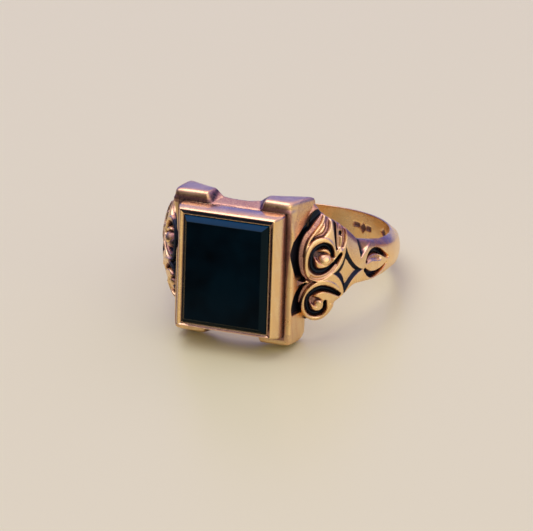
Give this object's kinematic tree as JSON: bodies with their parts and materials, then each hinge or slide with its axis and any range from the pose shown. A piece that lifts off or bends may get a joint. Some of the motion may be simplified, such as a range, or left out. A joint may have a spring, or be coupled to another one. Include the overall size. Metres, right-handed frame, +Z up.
{
  "type": "signet ring",
  "caption": "Signet ring: a bevelled dark stone tablet in a raised bezel on a square eared head, with scroll-carved shoulders and a plain rounded band.",
  "frame": {"origin": "centre of the finger hole, halfway along the height of the stone", "axes": "+Z up from the surface the ring lies on, +Y from the stone towards the back of the band, +X to the ring's right as the stone faces the viewer; the ring lies on its side, so the finger hole's axis leans about 15 degrees from +Z towards +Y"},
  "size_m": [0.0214, 0.0244, 0.0134],
  "materials": {
    "band_gold": "worn polished rose gold",
    "carved_gold": "worn rose gold with dark patina in the carving",
    "head_gold": "worn satin rose gold",
    "bezel_gold": "worn polished rose gold",
    "inner_gold": "unpolished rose gold",
    "solder": "tarnished gold solder",
    "onyx": "high polish",
    "shellac": "dull dark cement"
  },
  "bodies": {
    "root": {"shank": "band_gold", "shoulder_right": "carved_gold", "shoulder_left": "carved_gold", "head_frame": "head_gold", "bezel": "bezel_gold", "stone_seat": "inner_gold", "back_plate": "inner_gold", "stone": "onyx", "stone_cement": "shellac", "solder_bezel": "solder", "solder_shoulder_right": "solder", "solder_shoulder_left": "solder", "solder_shank_right": "solder", "solder_shank_left": "solder"}
  },
  "joints": []
}
